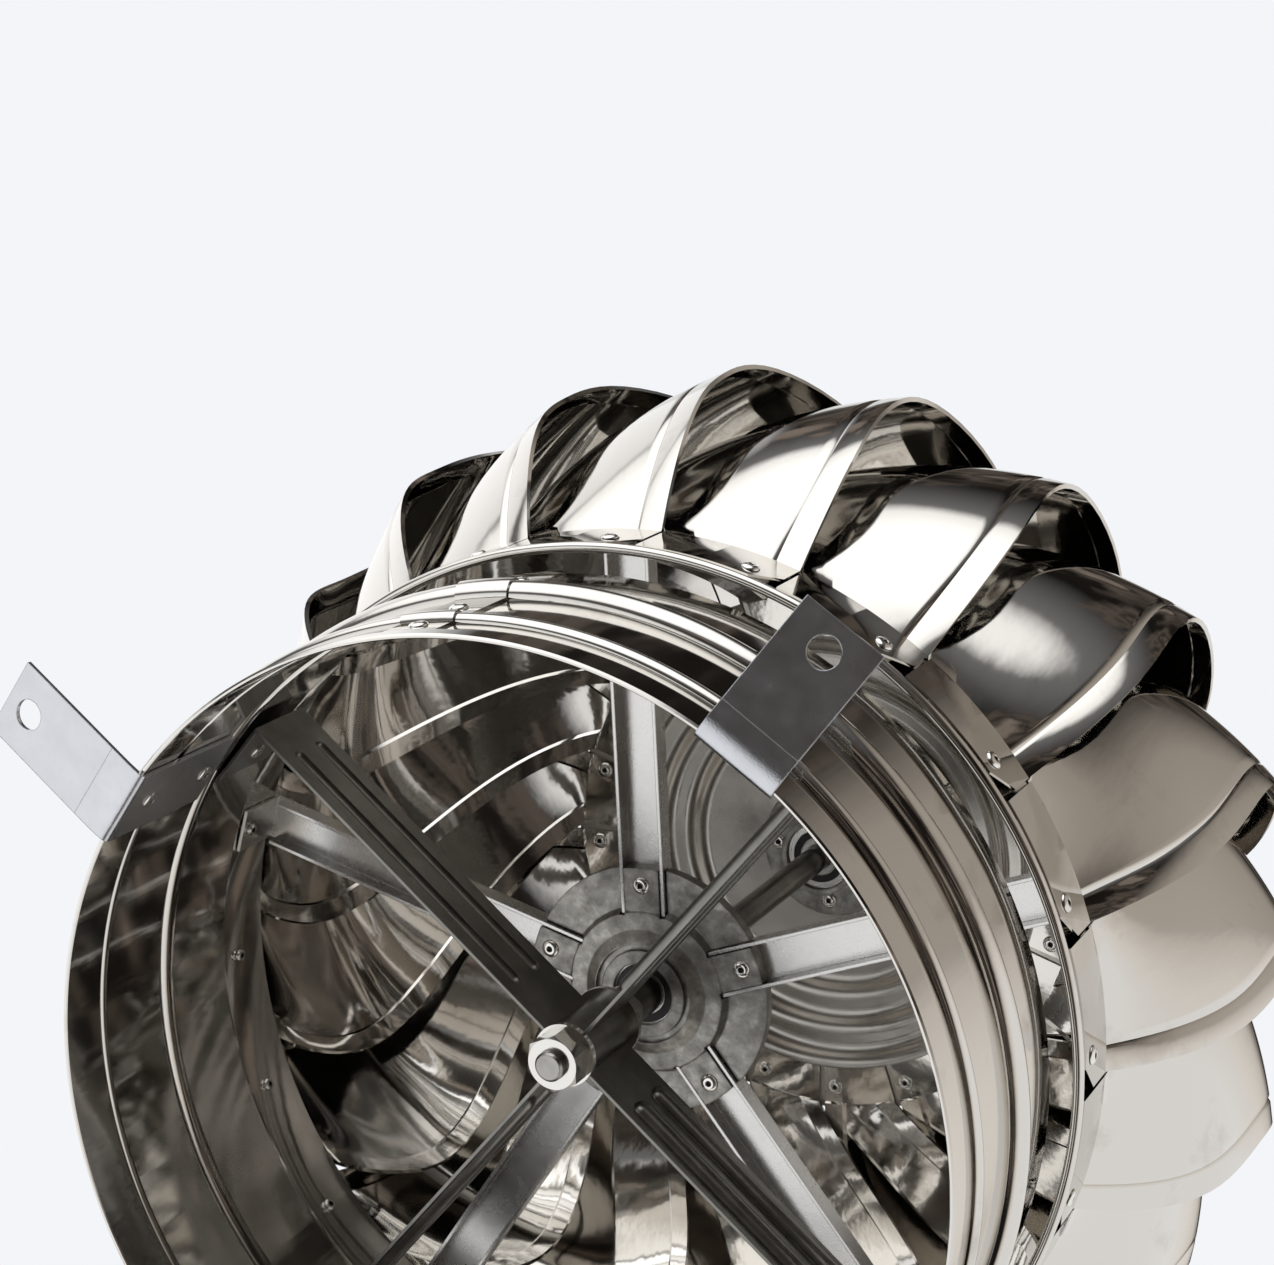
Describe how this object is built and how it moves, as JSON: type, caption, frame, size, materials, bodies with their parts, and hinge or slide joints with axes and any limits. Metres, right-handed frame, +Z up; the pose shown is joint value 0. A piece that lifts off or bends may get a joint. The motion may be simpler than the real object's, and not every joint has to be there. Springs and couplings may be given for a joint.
{
  "type": "roof turbine ventilator",
  "caption": "Wind-driven roof ventilator: a head of curved scoop vanes turns on a fixed shaft held by a cross brace in a round throat collar with fixing tabs.",
  "frame": {"origin": "middle of the throat, on the plane under the folds of the four fixing tabs", "axes": "+Z up the shaft towards the top plate; +X through the first fixing tab; +Y through the second"},
  "size_m": [0.4064, 0.4, 0.2994],
  "materials": {
    "polished_stainless": "mirror-polished stainless sheet",
    "galvanised_strip": "galvanised strip, matt grey",
    "cast_hub": "die-cast, unpolished, dull grey",
    "seal_rubber": "black bearing seal",
    "bearing_steel": "ground bearing steel",
    "fastener_steel": "bright plated steel"
  },
  "bodies": {
    "base": {"brace_arm_1": "galvanised_strip", "brace_arm_2": "galvanised_strip", "brace_arm_3": "galvanised_strip", "brace_arm_4": "galvanised_strip", "brace_hub_tube": "galvanised_strip", "brace_rivets": "fastener_steel", "fixing_tab_1": "galvanised_strip", "fixing_tab_2": "galvanised_strip", "fixing_tab_3": "galvanised_strip", "fixing_tab_4": "galvanised_strip", "fixing_tab_rivets": "fastener_steel", "lower_bearing_inner_ring": "bearing_steel", "shaft": "fastener_steel", "shaft_clips": "fastener_steel", "shaft_end_nut": "fastener_steel", "shaft_lock_nut": "fastener_steel", "shaft_spacer": "fastener_steel", "shaft_top_nut": "fastener_steel", "shaft_washers": "fastener_steel", "throat_collar": "polished_stainless", "throat_seam_rivets": "fastener_steel", "upper_bearing_inner_ring": "bearing_steel"},
    "turbine": {"arm_1": "galvanised_strip", "arm_2": "galvanised_strip", "arm_3": "galvanised_strip", "arm_4": "galvanised_strip", "arm_5": "galvanised_strip", "bearing_seals": "seal_rubber", "bottom_ring": "polished_stainless", "hub_rivets": "fastener_steel", "lower_bearing_outer_ring": "bearing_steel", "lower_hub": "cast_hub", "top_hub": "cast_hub", "top_hub_rivets": "fastener_steel", "top_plate": "polished_stainless", "upper_bearing_outer_ring": "bearing_steel", "vane_1": "polished_stainless", "vane_10": "polished_stainless", "vane_11": "polished_stainless", "vane_12": "polished_stainless", "vane_13": "polished_stainless", "vane_14": "polished_stainless", "vane_15": "polished_stainless", "vane_16": "polished_stainless", "vane_17": "polished_stainless", "vane_18": "polished_stainless", "vane_19": "polished_stainless", "vane_2": "polished_stainless", "vane_20": "polished_stainless", "vane_3": "polished_stainless", "vane_4": "polished_stainless", "vane_5": "polished_stainless", "vane_6": "polished_stainless", "vane_7": "polished_stainless", "vane_8": "polished_stainless", "vane_9": "polished_stainless", "vane_foot_rivets": "fastener_steel", "vane_tip_rivets": "fastener_steel"},
    "lower_balls": {"lower_bearing_balls": "bearing_steel"},
    "upper_balls": {"upper_bearing_balls": "bearing_steel"}
  },
  "joints": [
    {"name": "turbine_spin", "type": "hinge", "parent": "base", "child": "turbine", "pos_m": [0, 0, 0.126], "axis": [0, 0, 1], "continuous": true},
    {"name": "lower_balls_spin", "type": "hinge", "parent": "base", "child": "lower_balls", "pos_m": [0, 0, 0.126], "axis": [0, 0, 1], "continuous": true},
    {"name": "upper_balls_spin", "type": "hinge", "parent": "base", "child": "upper_balls", "pos_m": [0, 0, 0.285], "axis": [0, 0, 1], "continuous": true}
  ],
  "couplings": [
    {"joint": "lower_balls_spin", "follows": "turbine_spin", "ratio": 0.63056},
    {"joint": "upper_balls_spin", "follows": "turbine_spin", "ratio": 0.63056}
  ]
}
